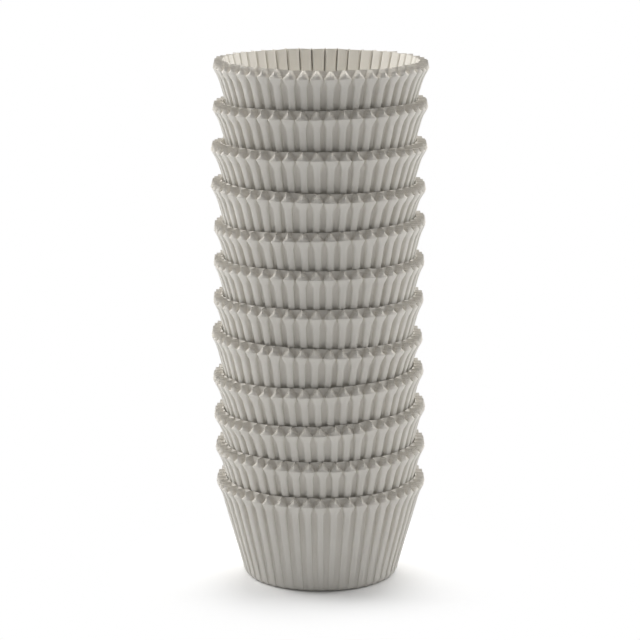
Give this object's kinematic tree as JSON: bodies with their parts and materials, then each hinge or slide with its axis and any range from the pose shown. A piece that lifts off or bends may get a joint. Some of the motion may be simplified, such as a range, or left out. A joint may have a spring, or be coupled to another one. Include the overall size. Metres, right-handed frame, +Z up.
{
  "type": "stack of cupcake liners",
  "caption": "Tall stack of pleated white paper cupcake liners, pressed into tight nests that seat one in another with their rims stepping up, base down.",
  "frame": {"origin": "centre of the underside of the lowest nest, where the stack stands", "axes": "+Z up the stack, -Y the side that faces the viewer"},
  "size_m": [0.0731, 0.0724, 0.1771],
  "materials": {
    "greaseproof_paper": "matte"
  },
  "bodies": {
    "root": {"liner_nest_01": "greaseproof_paper", "liner_nest_02": "greaseproof_paper", "liner_nest_03": "greaseproof_paper", "liner_nest_04": "greaseproof_paper", "liner_nest_05": "greaseproof_paper", "liner_nest_06": "greaseproof_paper", "liner_nest_07": "greaseproof_paper", "liner_nest_08": "greaseproof_paper", "liner_nest_09": "greaseproof_paper", "liner_nest_10": "greaseproof_paper", "liner_nest_11": "greaseproof_paper", "liner_nest_12": "greaseproof_paper"}
  },
  "joints": []
}
